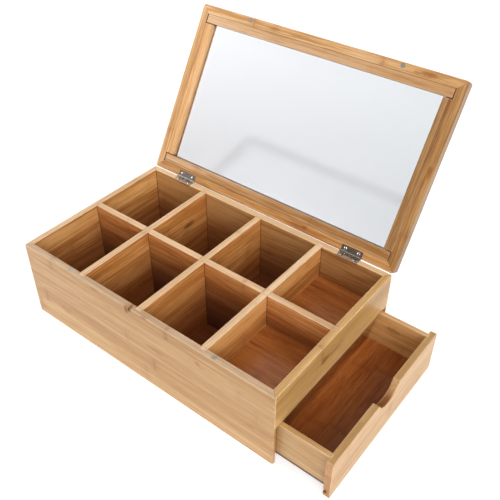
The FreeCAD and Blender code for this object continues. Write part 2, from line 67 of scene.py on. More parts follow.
class Graph:
    """Short calls for building one shader node tree."""

    def __init__(self, tree):
        self.tree = tree

    def node(self, kind, inputs=None, **settings):
        n = self.tree.nodes.new(kind)
        for key, value in settings.items():
            setattr(n, key, value)
        for key, value in (inputs or {}).items():
            self.put(n.inputs[key], value)
        return n

    def put(self, socket, value):
        if isinstance(value, bpy.types.NodeSocket):
            self.tree.links.new(value, socket)
        elif value is not None:
            socket.default_value = value

    def math(self, operation, a, b=None, c=None):
        return self.node("ShaderNodeMath", {0: a, 1: b, 2: c}, operation=operation).outputs[0]

    def times(self, a, b):
        return self.math("MULTIPLY", a, b)

    def greater(self, a, b):
        return self.math("MAXIMUM", a, b)

    def size_of(self, a):
        return self.math("ABSOLUTE", a)

    def swing(self, value, amount, base):
        """Base value, moved up and down by how far a noise lies from its middle."""
        return self.math("MULTIPLY_ADD", self.math("SUBTRACT", value, 0.5), amount, base)

    def vector(self, operation, a, b=None, out=0):
        return self.node("ShaderNodeVectorMath", {0: a, 1: b}, operation=operation).outputs[out]

    def scaled(self, vector, scale):
        return self.vector("MULTIPLY", vector, scale)

    def split(self, vector):
        return self.node("ShaderNodeSeparateXYZ", {0: vector}).outputs

    def join(self, x, y, z):
        return self.node("ShaderNodeCombineXYZ", {0: x, 1: y, 2: z}).outputs[0]

    def mix(self, factor, a, b, blend="MIX"):
        n = self.node("ShaderNodeMix", {0: factor, 6: a, 7: b}, data_type="RGBA", blend_type=blend)
        return n.outputs[2]

    def tinted(self, colour, gain):
        return self.mix(1.0, colour, gain, "MULTIPLY")

    def noise(self, place, scale, detail=3.0, roughness=0.55, distortion=0.0):
        """Soft noise. scale is about how many marks come in a metre, each way or along x, y and z."""
        marks = scale if isinstance(scale, tuple) else (scale, scale, scale)
        inputs = {"Vector": self.scaled(place, marks), "Scale": 1.0, "Detail": detail}
        inputs.update(Roughness=roughness, Distortion=distortion)
        return self.node("ShaderNodeTexNoise", inputs).outputs[0]

    def ramp(self, value, low, high, to_low=0.0, to_high=1.0, smooth=True):
        n = self.node(
            "ShaderNodeMapRange",
            {"Value": value, "From Min": low, "From Max": high, "To Min": to_low, "To Max": to_high},
            interpolation_type="SMOOTHSTEP" if smooth else "LINEAR",
        )
        return n.outputs[0]

    def fade_out(self, distance, full, none, amount=1.0):
        """The amount up to one distance in millimetres, and nothing from another one on."""
        return self.ramp(distance, full * MM, none * MM, amount, 0.0)

    def place(self):
        return self.node("ShaderNodeTexCoord").outputs["Object"]


def new_material(name):
    material = bpy.data.materials.new(name)
    material.use_nodes = True
    material.node_tree.nodes.clear()
    graph = Graph(material.node_tree)
    output = graph.node("ShaderNodeOutputMaterial")
    return material, graph, output


def dress(node, material):
    """Gives every slot of a CAD node this material."""
    slots = nodes[node].data.materials
    if not len(slots):
        slots.append(material)
    for i in range(len(slots)):
        slots[i] = material


# Laminated bamboo, the same for all boards

# About how many marks of a kind come in a metre: along the fibres, across the strips, through the board
WAVER = (5.0, 18.0, 18.0)
BROAD = (4.5, 130.0, 130.0)
STREAK = (13.0, 560.0, 560.0)
FINE = (38.0, 1700.0, 1700.0)
FLECK = (75.0, 1250.0, 1250.0)
CLUMP = (14.0, 70.0, 70.0)
THREAD = (17.0, 1150.0, 1150.0)
RAGGED = (70.0, 160.0, 160.0)
KNUCKLE_PITCH = 235.0 * MM
GREENER = (0.48, 0.60, 0.30, 1)
PINKER = (1.0, 0.66, 0.50, 1)
KNUCKLE_BROWN = (0.17, 0.062, 0.022, 1)
GROUP_INPUTS = {
    "Grain": "NodeSocketVector",
    "Seed": "NodeSocketFloat",
    "Strip": "NodeSocketFloat",
    "Pale": "NodeSocketColor",
    "Honey": "NodeSocketColor",
    "Streak": "NodeSocketColor",
    "Contrast": "NodeSocketFloat",
}
GROUP_OUTPUTS = {
    "Color": "NodeSocketColor",
    "Roughness": "NodeSocketFloat",
    "Height": "NodeSocketFloat",
}


def lay_strips(g, given):
    """Strips side by side. Gives three chances for each strip, how far along it the point is, the place that
    its fibres are drawn at, and the seam beside it."""
    place = g.split(given["Grain"])
    seed_shift = g.join(g.times(given["Seed"], 3.71), g.times(given["Seed"], 1.37), given["Seed"])
    waver = g.noise(g.vector("ADD", given["Grain"], seed_shift), WAVER, detail=1.0)
    across = g.swing(waver, 1.6 * MM, place[1])
    row = g.math("DIVIDE", g.math("MULTIPLY_ADD", given["Seed"], 13.7 * MM, across), given["Strip"])
    index = g.math("FLOOR", row)
    in_row = g.math("SUBTRACT", row, index)
    chance = g.node(
        "ShaderNodeTexWhiteNoise",
        {"Vector": g.join(index, given["Seed"], 0.0)},
        noise_dimensions="3D",
    ).outputs["Color"]
    chances = g.node("ShaderNodeSeparateColor", {0: chance}).outputs
    along = g.math("MULTIPLY_ADD", chances[2], 0.9, place[0])
    strip_place = g.vector("ADD", g.join(along, across, place[2]), seed_shift)
    to_edge = g.times(g.math("MINIMUM", in_row, g.math("SUBTRACT", 1.0, in_row)), given["Strip"])
    return chances, along, strip_place, g.fade_out(to_edge, 0.08, 0.42)


def make_fibres(g, strip_place):
    """Fibres at three scales, flecks and dark threads, all drawn out along the grain."""
    broad = g.noise(strip_place, BROAD, detail=2.0, roughness=0.5)
    streak = g.noise(strip_place, STREAK, detail=4.0, roughness=0.62, distortion=0.25)
    fine = g.noise(strip_place, FINE, detail=2.0, roughness=0.6)
    flecks = g.ramp(g.noise(strip_place, FLECK, detail=1.0, roughness=0.5), 0.60, 0.72)
    clump = g.noise(strip_place, CLUMP, detail=2.0, roughness=0.6)
    thread = g.noise(strip_place, THREAD, detail=2.0, roughness=0.55, distortion=0.3)
    threads = g.times(g.ramp(thread, 0.53, 0.70), g.ramp(clump, 0.40, 0.66, 0.15, 1.0))
    return broad, streak, fine, flecks, threads


def make_knuckles(g, chances, along, strip_place, fine):
    """Where the cane's joints were: a ragged darker bar across one strip, and the halo around it."""
    wave = g.noise(strip_place, RAGGED, detail=3.0, roughness=0.6)
    turn = g.math("FRACT", g.math("MULTIPLY_ADD", chances[1], 3.0, g.math("DIVIDE", along, KNUCKLE_PITCH)))
    away = g.times(g.size_of(g.math("SUBTRACT", turn, 0.5)), KNUCKLE_PITCH)
    ragged = g.swing(wave, 16.0 * MM, away)
    shown = g.ramp(chances[0], 0.25, 0.9, 0.25, 1.0)
    core = g.times(g.fade_out(ragged, -1.0, 3.5), g.ramp(fine, 0.36, 0.62))
    return g.times(core, shown), g.times(g.fade_out(ragged, 0.0, 17.0), shown)


def make_bamboo_group():
    """Laminated bamboo. Grain is the board's own place in metres: x along the fibres, y across the strips
    and z through the board."""
    tree = bpy.data.node_groups.new("laminated_bamboo", "ShaderNodeTree")
    for name, kind in GROUP_INPUTS.items():
        tree.interface.new_socket(name=name, in_out="INPUT", socket_type=kind)
    for name, kind in GROUP_OUTPUTS.items():
        tree.interface.new_socket(name=name, in_out="OUTPUT", socket_type=kind)
    g = Graph(tree)
    given = g.node("NodeGroupInput").outputs
    out = g.node("NodeGroupOutput")
    chances, along, strip_place, seam = lay_strips(g, given)
    broad, streak, fine, flecks, threads = make_fibres(g, strip_place)
    core, halo = make_knuckles(g, chances, along, strip_place, fine)

    tone = 0.0
    for noise, amount in ((broad, 1.3), (streak, 1.75), (fine, 0.75), (chances[0], 0.38)):
        tone = g.swing(noise, amount, tone)
    tone = g.math("MULTIPLY_ADD", tone, given["Contrast"], 0.5)
    light = g.mix(g.ramp(tone, 0.0, 0.55, smooth=False), given["Pale"], given["Honey"])
    colour = g.mix(g.ramp(tone, 0.5, 1.25, smooth=False), light, given["Streak"])
    colour = g.mix(g.times(flecks, 0.28), colour, given["Streak"])
    colour = g.mix(g.times(threads, g.times(given["Contrast"], 0.50)), colour, given["Streak"])
    # one strip is a little greener, the next a little pinker
    colour = g.mix(g.times(g.ramp(chances[1], 0.35, 1.0), 0.03), colour, PINKER, "SOFT_LIGHT")
    colour = g.mix(g.times(g.ramp(chances[1], 0.65, 0.0), 0.07), colour, GREENER, "SOFT_LIGHT")
    brown = g.mix(0.62, colour, KNUCKLE_BROWN)
    colour = g.mix(g.times(halo, 0.30), colour, given["Streak"])
    colour = g.mix(g.times(core, 0.85), colour, brown)
    colour = g.mix(g.times(seam, 0.30), colour, brown)

    rough = g.swing(fine, 0.12, g.swing(streak, 0.16, 0.36))
    rough = g.math("MULTIPLY_ADD", core, 0.12, rough)
    height = g.times(streak, 0.5)
    for part, amount in ((fine, 0.35), (flecks, -0.25), (core, -0.35), (seam, -0.5)):
        height = g.math("MULTIPLY_ADD", part, amount, height)
    g.put(out.inputs["Color"], colour)
    g.put(out.inputs["Roughness"], rough)
    g.put(out.inputs["Height"], height)
    return tree


BAMBOO = make_bamboo_group()


# Linear colours

def tones(pale, honey, streak):
    """A board's palest fibres, its ground and its darkest streaks."""
    return tuple((*tone, 1) for tone in (pale, honey, streak))


HONEY = tones((0.66, 0.435, 0.230), (0.56, 0.33, 0.137), (0.39, 0.185, 0.058))
END_HONEY = tones((0.64, 0.425, 0.20), (0.53, 0.32, 0.115), (0.36, 0.175, 0.050))
# Inner faces: a deeper, redder copy of the bamboo, painted shade for faces in half light
SHADED_CELL_HONEY = tones((0.61, 0.36, 0.145), (0.51, 0.262, 0.084), (0.34, 0.138, 0.034))
# Top edges: paler copies of the bamboo, a painted highlight where the light falls on them
LIT_RIM_HONEY = tones((0.87, 0.66, 0.45), (0.77, 0.52, 0.30), (0.56, 0.33, 0.155))
LIT_GREY_RIM = tones((0.68, 0.51, 0.35), (0.57, 0.385, 0.235), (0.39, 0.24, 0.135))
LIT_DRAWER_RIM = tones((0.72, 0.48, 0.235), (0.64, 0.385, 0.155), (0.46, 0.25, 0.085))
LIT_BACK_RIM = tones((0.76, 0.56, 0.335), (0.725, 0.505, 0.27), (0.60, 0.375, 0.175))
# The lid's boards: lighter and darker copies of one bamboo, painted light and shade for boards in more or
# less light
LID_TOP = tones((0.68, 0.42, 0.21), (0.59, 0.335, 0.138), (0.40, 0.18, 0.052))
LID_LOW = tones((0.62, 0.345, 0.142), (0.515, 0.25, 0.082), (0.35, 0.13, 0.032))
LID_RIGHT = tones((0.52, 0.30, 0.130), (0.425, 0.227, 0.082), (0.28, 0.11, 0.029))
RED_BROWN = tones((0.44, 0.160, 0.042), (0.375, 0.122, 0.027), (0.19, 0.047, 0.010))
# The base panel at the foot of the deep cells: dark wood, darkened further with painted shade
BASE_BROWN_AND_SHADE = tones((0.155, 0.043, 0.011), (0.120, 0.029, 0.0063), (0.072, 0.014, 0.003))
# Arrises: rubbed paler, and partly a painted highlight
RUBBED_AND_HIGHLIT = (0.84, 0.64, 0.46, 1)
KNOT_HALO = (0.45, 0.20, 0.055, 1)
KNOT_SPOT = (0.22, 0.078, 0.017, 1)
KNOT_EYE = (0.055, 0.018, 0.004, 1)
# Painted shade in the finger scoop's hollow
SCOOP_SHADE = (0.20, 0.060, 0.014, 1)
# Painted shade in the inner corners
CORNER_SHADE = (0.085, 0.032, 0.012, 1)
# Dark glue lines and joints, and painted shade in gaps and at the foot
JOINT_AND_SHADE_BROWN = (0.10, 0.040, 0.015, 1)
# Painted shade at the foot of the inner faces
DEPTH_SHADE_GAIN = (0.46, 0.23, 0.16, 1)
END_GRAIN_GAIN = (0.80, 0.62, 0.46, 1)


# One board

INNER_CONTRAST = 1.9  # how much stronger the fibres show on inner faces
DEEP_FROM, DEEP_TO = 90.0, 10.0  # heights between which painted shade darkens the inner faces
KNOT_THROUGH = 9.0  # half of a knot's size through the board
SCOOP_REACH = 20.0  # how far from the middle the finger scoop's hollow goes
FIBRE_RELIEF = 0.22 * MM
FIBRE_BUMP = 0.35
OIL_IOR = 1.48


@dataclass
class Board:
    """Bamboo for one board, in the frame of the shut box. Sizes and places are in millimetres.
    A fade is a tuple of drifts of tone: axis, start, end, gain at the start, gain at the end.
    A line is an axis and a place on it, the same on both sides of the middle."""

    node: str
    grain: str  # axis along the strips
    across: str  # axis across the strips
    seed: float
    colours: tuple = HONEY
    strip: float = 19.5  # width of a strip
    contrast: float = 1.0  # how far apart the fibres' tones are
    broken: float = 1.4  # how often the fibres' marks come along the grain
    gloss: float = 0.0  # taken off the roughness
    wear_and_sheen: float = 0.55  # how pale the arrises are, partly rubbed and partly a painted highlight
    ends: float = 0.0  # how deep the tone of the end grain is
    fade: tuple = ()
    knots: tuple = ()  # x, y, z, half length along the grain, half width, depth of tone
    mitred: bool = False
    mitre_tone: float = 0.55
    lines: tuple = ()
    line_tone: float = 0.60
    room: tuple = None  # x0, x1, y0, y1 of the cells or the drawer that the inner faces look into
    # inner corners darkened with painted shade
    shaded_corners: tuple = ()
    # drifts of tone on the inner faces: painted light and shade
    inner_shading: tuple = ()
    depth_shade: float = 0.8  # how strong the painted shade on the inner faces is at their foot
    rim: tuple = LIT_RIM_HONEY  # colours of the top edge, paler: a painted highlight
    rim_fade: tuple = ()
    band: float = 1.9  # how far down the outside the top edge's colours reach
    rabbet: tuple = None  # x, y within which a lid board's side is dark, how dark, from how deep
    dark_edge: str = ""  # axis across which the board's outline is dark
    foot: float = 0.0  # height of the shade at the foot
    scoop: bool = False
    groove: bool = False

    def make(self):
        material, self.g, output = new_material("bamboo_" + self.node)
        g = self.g
        self.find_place()
        colour, rough, height = self.bamboo(self.colours, self.contrast)
        colour = self.drift(colour, self.fade)
        if self.room:
            colour = self.add_room(colour)
        if self.ends:
            end = g.fade_out(self.inside[self.grain], 0.1, 0.6, self.ends)
            colour = g.mix(end, colour, g.tinted(colour, END_GRAIN_GAIN))
        edge = self.arrises()
        colour = g.mix(g.times(edge, self.wear_and_sheen), colour, RUBBED_AND_HIGHLIT)
        rough = g.math("MULTIPLY_ADD", edge, 0.10, rough)
        if self.knots:
            colour, height = self.add_knots(colour, height)
        if self.scoop:
            colour = g.mix(self.scoop_hollow(), colour, SCOOP_SHADE)
        for dark in self.dark_parts():
            colour = g.mix(dark, colour, JOINT_AND_SHADE_BROWN)
        if self.gloss:
            rough = g.math("SUBTRACT", rough, self.gloss)
        relief = {"Strength": FIBRE_BUMP, "Distance": FIBRE_RELIEF, "Height": height}
        bump = g.node("ShaderNodeBump", relief)
        shader = g.node(
            "ShaderNodeBsdfPrincipled",
            {"Base Color": colour, "Roughness": rough, "Normal": bump.outputs[0], "IOR": OIL_IOR},
        )
        g.put(output.inputs["Surface"], shader.outputs[0])
        dress(self.node, material)

    def find_place(self):
        """The point's place in the shut box, the board's own box, and how far inside it the point is."""
        g = self.g
        self.place = g.place()
        if self.node in LID_NODES:
            self.place = g.node(
                "ShaderNodeVectorRotate",
                {"Vector": self.place, "Center": HINGE_AXIS, "Angle": LID_OPEN},
                rotation_type="X_AXIS",
            ).outputs[0]
        self.at = dict(zip("xyz", g.split(self.place)))
        self.through = next(axis for axis in "xyz" if axis not in (self.grain, self.across))
        low, high = shut_box(self.node)
        self.foot_z, self.top_z = low[2], high[2]
        past_low = g.vector("SUBTRACT", self.place, low)
        short_of_high = g.vector("SUBTRACT", high, self.place)
        self.inside = dict(zip("xyz", g.split(g.vector("MINIMUM", past_low, short_of_high))))

    def bamboo(self, colours, contrast):
        """Colour, roughness and height of plain bamboo."""
        g = self.g
        along = g.times(self.at[self.grain], self.broken)
        given = dict(zip(("Pale", "Honey", "Streak"), colours))
        given["Grain"] = g.join(along, self.at[self.across], self.at[self.through])
        given.update(Seed=self.seed, Strip=self.strip * MM, Contrast=contrast)
        group = g.node("ShaderNodeGroup", given, node_tree=BAMBOO)
        return [group.outputs[name] for name in ("Color", "Roughness", "Height")]

    def drift(self, tone, fade):
        g = self.g
        for axis, start, end, first, last in fade:
            part = g.ramp(self.at[axis], start * MM, end * MM, smooth=False)
            tone = g.tinted(tone, g.mix(part, (*first, 1), (*last, 1)))
        return tone

    def beyond(self, axis, place):
        """How far the point is beyond this place, measured both ways from the middle."""
        return self.g.math("SUBTRACT", self.g.size_of(self.at[axis]), place * MM)

    def add_room(self, colour):
        """Inner faces: painted shade, a deeper tone for faces in half light. Top edge: a painted highlight,
        paler.
        """
        g = self.g
        inner = self.bamboo(SHADED_CELL_HONEY, self.contrast * INNER_CONTRAST)[0]
        inner = self.drift(inner, self.inner_shading)
        depth = g.ramp(self.at["z"], DEEP_FROM * MM, DEEP_TO * MM, 0.0, self.depth_shade)
        inner = g.mix(depth, inner, g.tinted(inner, DEPTH_SHADE_GAIN))
        for line in self.shaded_corners:
            corner = g.fade_out(g.size_of(self.beyond(*line)), 0.2, 1.1, 0.62)
            inner = g.mix(corner, inner, CORNER_SHADE)

        x0, x1, y0, y1 = self.room
        outside = []
        for axis, start, end in (("x", x0, x1), ("y", y0, y1)):
            from_middle = g.size_of(g.math("SUBTRACT", self.at[axis], (start + end) / 2 * MM))
            outside.append(g.math("SUBTRACT", from_middle, (end - start) / 2 * MM))
        within = g.fade_out(g.greater(*outside), 0.0, 0.6)
        # outside, the top edge takes in the whole rounded arris
        outer_edge = g.ramp(self.at["z"], self.top_z - self.band * MM, self.top_z - 0.4 * self.band * MM)
        inner_edge = g.ramp(self.at["z"], self.top_z - 0.9 * MM, self.top_z - 0.1 * MM)
        top = self.drift(self.bamboo(self.rim, self.contrast)[0], self.rim_fade)
        return g.mix(g.mix(within, outer_edge, inner_edge), g.mix(within, colour, inner), top)

    def arrises(self):
        """Where two faces meet: paler, partly rubbed and partly a painted highlight, more here and less
        there, but not at the foot of a case's board.
        """
        g = self.g
        a, b, c = self.inside.values()
        second = g.greater(g.math("MINIMUM", a, b), g.math("MINIMUM", g.greater(a, b), c))
        # patches where the arrises are paler, from wear and painted highlight
        rub_and_sheen = g.noise(self.place, 95.0)
        edge = g.times(g.fade_out(second, 0.2, 1.2), g.ramp(rub_and_sheen, 0.30, 0.66, 0.35, 1.0))
        if self.node not in LID_NODES:
            edge = g.times(edge, g.ramp(self.at["z"], self.foot_z + 2.0 * MM, self.foot_z + 4.0 * MM))
        return edge

    def add_knots(self, colour, height):
        g = self.g
        ragged = g.noise(self.place, 240.0, roughness=0.65)
        for x, y, z, long, wide, depth in self.knots:
            reach = {self.grain: long, self.across: wide, self.through: KNOT_THROUGH}
            apart = g.vector("SUBTRACT", self.place, Vector((x, y, z)) * MM)
            near = g.vector("LENGTH", g.scaled(apart, [1 / (reach[axis] * MM) for axis in "xyz"]), out=1)
            near = g.swing(ragged, 1.3, near)
            halo = g.ramp(near, 0.70, 1.75, 1.0, 0.0)
            spot = g.ramp(near, 0.55, 1.10, 1.0, 0.0)
            eye = g.ramp(near, 0.25, 0.80, 1.0, 0.0)
            dark_eye = min(1.0, max(0.0, depth - 0.55) * 2.3)
            colour = g.mix(g.times(halo, 0.60 * depth), colour, KNOT_HALO)
            colour = g.mix(g.times(spot, 0.80 * depth), colour, KNOT_SPOT)
            colour = g.mix(g.times(eye, dark_eye), colour, KNOT_EYE)
            height = g.math("MULTIPLY_ADD", eye, -0.8, height)
        return colour, height

    def scoop_hollow(self):
        """Painted shade in the hollow of the finger scoop, between the board's two faces, deepest at its near
        side.
        """
        g = self.g
        below_top = g.ramp(self.at["z"], self.top_z - 2.3 * MM, self.top_z - 4.8 * MM)
        hollow = g.times(g.ramp(self.inside[self.through], 0.4 * MM, 1.4 * MM), below_top)
        hollow = g.times(hollow, g.fade_out(g.size_of(self.at["y"]), SCOOP_REACH, SCOOP_REACH + 1.5))
        return g.times(hollow, g.ramp(self.at["y"], 1.0 * MM, 17.0 * MM, 0.90, 0.15))

    def dark_parts(self):
        """How dark the glue lines and joints are, and the painted shade in gaps, at the foot and on shaded
        sides: none, or one value in a list.
        """
        g = self.g
        found = []
        if self.mitred:
            off = g.math("SUBTRACT", g.size_of(self.at["x"]), g.size_of(self.at["y"]))
            off = g.size_of(g.math("SUBTRACT", off, MITRE * MM))
            found.append(g.fade_out(off, 0.05, 0.4, self.mitre_tone))
        for line in self.lines:
            found.append(g.fade_out(g.size_of(self.beyond(*line)), 0.08, 0.5, self.line_tone))
        if self.rabbet:
            found.append(self.rabbet_side())
        if self.groove:
            found.append(self.groove_end())
        if self.foot:
            above_foot = g.math("SUBTRACT", self.at["z"], self.foot_z)
            found.append(g.fade_out(above_foot, 0.7 * self.foot, self.foot, 0.85))
        if self.dark_edge:
            found.append(g.fade_out(self.inside[self.dark_edge], 0.03, 0.2, 0.80))
        while len(found) > 1:
            found = [g.greater(found[0], found[1])] + found[2:]
        return found

    def rabbet_side(self):
        """The side that stands between the lid's inner face and the pane."""
        g = self.g
        x, y, darkness, start = self.rabbet
        side = g.fade_out(g.greater(self.beyond("x", x), self.beyond("y", y)), 0.05, 0.3, darkness)
        above_face = g.ramp(self.at["z"], (LID_FACE + start) * MM, (LID_FACE + start + 1.2) * MM)
        below_pane = g.fade_out(self.at["z"], PANE_FAR_FACE - 0.2, PANE_FAR_FACE + 0.4)
        return g.times(side, g.times(below_pane, above_face))

    def groove_end(self):
        """Painted shade in the end of the groove that the drawer's bottom sits in, and below it."""
        g = self.g
        reach = span("drawer_bottom", "x")[1]
        low, high = span("drawer_bottom", "z")
        behind = g.fade_out(self.at["x"], reach + 0.3, reach + 0.6)
        above = g.ramp(self.at["z"], (low - 1.6) * MM, (low - 1.3) * MM)
        below = g.ramp(self.at["z"], (high + 0.2) * MM, (high - 0.1) * MM, 0.0, 0.88)
        return g.times(behind, g.times(above, below))


def even(red, green, blue):
    """A fade with the same gain over the whole board."""
    return (("z", 0.0, 1.0, (red, green, blue), (red, green, blue)),)


# Boards of the case

ROOM_MARGIN = 0.1
CASE_ROOM = (-INNER_X - ROOM_MARGIN, INNER_X + ROOM_MARGIN, -INNER_Y - ROOM_MARGIN, INNER_Y + ROOM_MARGIN)
CORNERS_ALONG = (("x", MIDDLE_FACE), ("x", CELL_FACE), ("x", BAY_FACE), ("x", INNER_X))
CORNERS_ACROSS = (("y", MIDDLE_FACE), ("y", INNER_Y))
HINGE_SHADE_LINE = ("y", BACK - 0.3)  # painted shade: a dark line where the case and the open lid meet
LEFT_ARRIS_SHADE = ("x", RIGHT - 1.3)  # painted shade: a dark line along the left wall's outer arris
LONG_WALL = dict(mitred=True, room=CASE_ROOM, shaded_corners=CORNERS_ALONG, ends=0.8)
END_WALL = dict(mitred=True, room=CASE_ROOM, shaded_corners=CORNERS_ACROSS)
CROSS_DIVIDER = dict(
    room=CASE_ROOM,
    lines=CORNERS_ACROSS,
    line_tone=0.3,
    shaded_corners=CORNERS_ACROSS,
    # painted light: the inner faces lighter all over
    inner_shading=even(1.28, 1.16, 1.04),
)
PANEL = dict(colours=RED_BROWN, strip=24.0, wear_and_sheen=0.0, broken=2.6)

CASE_BOARDS = (
    Board(
        "front_wall", "x", "z", 1.0, **LONG_WALL, rim=LIT_GREY_RIM,
        fade=(("z", 15.0, 50.0, (0.96, 0.94, 0.91), (0.835, 0.79, 0.72)),),
        knots=(
            (-12.2, FRONT, 93.4, 3.2, 4.6, 1.0),
            (-8.6, FRONT, 95.9, 3.0, 4.2, 1.0),
            (-58.0, FRONT, 94.0, 7.0, 1.8, 0.50),
            (11.3, FRONT, 96.0, 5.0, 1.6, 0.45),
            (25.0, FRONT, 59.0, 15.0, 3.0, 0.42),
            (79.7, FRONT, 79.3, 3.2, 3.0, 0.50),
            (84.5, FRONT, 76.5, 5.0, 1.0, 0.35),
            (-116.0, FRONT, 31.0, 11.0, 4.5, 0.30),
            (142.8, FRONT, 37.0, 6.0, 1.2, 0.35),
        ),
    ),
    Board(
        "back_wall", "x", "z", 2.0, **LONG_WALL, rim=LIT_BACK_RIM, lines=(HINGE_SHADE_LINE,), line_tone=0.70,
        # painted shade: the inner face darker to the right and towards its foot
        inner_shading=(
            ("x", -120.0, 80.0, (0.98, 0.90, 0.86), (0.80, 0.74, 0.72)),
            ("z", 20.0, 70.0, (0.70, 0.64, 0.72), (1.0, 1.0, 1.0)),
        ),
        rim_fade=(("x", -105.0, 105.0, (1.05, 1.05, 1.05), (0.93, 0.88, 0.84)),),
    ),
    Board(
        "left_wall", "y", "z", 3.0, **END_WALL, contrast=1.1, lines=(LEFT_ARRIS_SHADE,), line_tone=0.50,
        # painted light: the inner face lighter, most towards the back
        inner_shading=(("y", -10.0, 60.0, (1.20, 1.10, 1.04), (1.32, 1.28, 1.18)),),
    ),
    Board(
        "right_end_panel", "y", "z", 4.0, **END_WALL, colours=END_HONEY, rim=LIT_DRAWER_RIM,
        fade=(("z", 66.0, 74.0, (1.08, 1.08, 1.08), (0.92, 0.89, 0.84)),),
        knots=((RIGHT, -22.0, 77.5, 9.0, 4.5, 0.70), (RIGHT, -6.0, 76.0, 13.0, 3.0, 0.50)),
    ),
    Board("base_panel", "x", "y", 5.0, colours=BASE_BROWN_AND_SHADE, strip=24.0, wear_and_sheen=0.0),
    Board("drawer_bay_shelf", "x", "y", 6.0, **PANEL, gloss=0.10, contrast=1.35),
    Board(
        "long_divider", "x", "z", 7.0, room=CASE_ROOM, shaded_corners=CORNERS_ALONG, lines=CORNERS_ALONG,
        line_tone=0.3,
        # painted light and shade: the inner faces lighter near the top and much darker towards their foot
        inner_shading=(
            ("z", 45.0, 92.0, (0.66, 0.50, 0.47), (1.22, 1.05, 1.00)),
            ("z", 10.0, 76.0, (0.29, 0.24, 0.36), (1.0, 0.98, 0.98)),
        ),
        rim_fade=(("x", 50.0, 160.0, (0.97, 0.96, 0.95), (0.74, 0.66, 0.56)),),
    ),
    Board(
        "cross_divider_left", "y", "z", 8.0, **CROSS_DIVIDER,
        knots=((-CELL_FACE, 62.0, 68.8, 11.0, 4.0, 0.75), (-CELL_FACE, 57.0, 60.0, 9.0, 3.0, 0.50)),
    ),
    Board(
        "cross_divider_middle", "y", "z", 9.0, **CROSS_DIVIDER,
        knots=((MIDDLE_FACE, -33.7, 41.2, 4.5, 4.5, 0.50), (MIDDLE_FACE, 74.0, 78.0, 12.0, 3.0, 0.45)),
    ),
    Board(
        "cross_divider_right", "y", "z", 10.0, **CROSS_DIVIDER,
        knots=((BAY_FACE, 40.0, 74.0, 16.0, 2.4, 0.45),),
    ),
)


# Boards and beads of the lid

LONG_JOINT = ("y", RABBET_Y)
SHORT_JOINT = ("x", RABBET_X)
FRAME = dict(mitred=True, rabbet=(RABBET_X, RABBET_Y, 0.82, 0.0))
# Painted light: the lid's boards and beads lighter towards the left end
LEFT_TO_RIGHT = (("x", -RIGHT, 120.0, (1.42, 1.62, 2.05), (0.95, 0.93, 0.90)),)
BEAD_LEFT_TO_RIGHT = (("x", -RIGHT, 120.0, (1.12, 1.22, 1.52), (0.80, 0.76, 0.74)),)

LID_BOARDS = (
    Board(
        "lid_front_rail", "x", "y", 11.0, **FRAME, colours=LID_TOP, contrast=1.9, wear_and_sheen=0.2, mitre_tone=0.2,
        lines=(LONG_JOINT,),
        fade=LEFT_TO_RIGHT,
        knots=(
            (128.2, -97.4, LID_FACE, 11.0, 3.0, 0.60),
            (116.0, -96.0, LID_FACE, 5.0, 1.4, 0.45),
            (-62.7, -97.3, LID_FACE, 8.0, 2.0, 0.50),
        ),
    ),
    Board(
        "lid_back_rail", "x", "y", 12.0, **FRAME, colours=LID_LOW, contrast=2.2, wear_and_sheen=0.2, mitre_tone=0.25,
        lines=(LONG_JOINT, HINGE_SHADE_LINE),
        knots=((50.0, 98.2, LID_FACE, 12.0, 3.2, 0.50), (57.0, 96.6, LID_FACE, 4.0, 2.0, 0.62)),
    ),
    Board(
        "lid_left_stile", "y", "x", 13.0, **FRAME, colours=LID_TOP, contrast=1.9, wear_and_sheen=0.3, mitre_tone=0.2,
        lines=(SHORT_JOINT,),
        # painted light: lighter all along, most at the front
        fade=(("y", -100.0, 100.0, (1.20, 1.26, 1.38), (1.08, 1.08, 1.08)),),
    ),
    Board(
        "lid_right_stile", "y", "x", 14.0, **FRAME, colours=LID_RIGHT, contrast=1.9, wear_and_sheen=0.0,
        mitre_tone=0.25,
        # painted shade on the stile's outer side
        fade=(("x", RIGHT - 1.4, RIGHT - 0.1, (1.0, 1.0, 1.0), (0.70, 0.70, 0.70)),),
        knots=((166.0, -8.1, LID_FACE, 7.0, 3.6, 0.62),),
    ),
)


def bead(side, grain, across, seed, darkness, start=0.0, **looks):
    """Glazing bead, whose side at the window is dark, from some depth below its face."""
    window = (WINDOW_X, WINDOW_Y, darkness, start)
    alike = dict(strip=13.0, rabbet=window, contrast=1.8, wear_and_sheen=0.2)
    return Board("glazing_bead_" + side, grain, across, seed, **alike, **looks)


# The line at the long beads' ends is painted shade in the gap where they meet the short beads
LONG_BEAD = dict(colours=LID_TOP, lines=(LONG_JOINT, ("x", LONG_BEAD_END)), fade=BEAD_LEFT_TO_RIGHT)
BEADS = (
    bead("front", "x", "y", 15.0, 0.75, **LONG_BEAD),
    bead("back", "x", "y", 16.0, 0.85, **LONG_BEAD),
    bead(
        "left", "y", "x", 17.0, 0.20, 2.4, colours=LID_TOP, lines=(SHORT_JOINT,),
        # painted light: lighter all over
        fade=even(1.24, 1.22, 1.20),
    ),
    # the right bead: painted shade, darker all over
    bead("right", "y", "x", 18.0, 0.75, colours=LID_RIGHT, fade=even(0.80, 0.80, 0.80)),
)


# Boards of the drawer

DRAWER_SIDE = span("drawer_far_side", "y")[0]
DRAWER_ROOM = (
    span("drawer_back", "x")[1] - ROOM_MARGIN,
    span("drawer_front", "x")[0] + ROOM_MARGIN,
    -DRAWER_SIDE - ROOM_MARGIN,
    DRAWER_SIDE + ROOM_MARGIN,
)
DRAWER = dict(room=DRAWER_ROOM, rim=LIT_DRAWER_RIM, band=0.9)

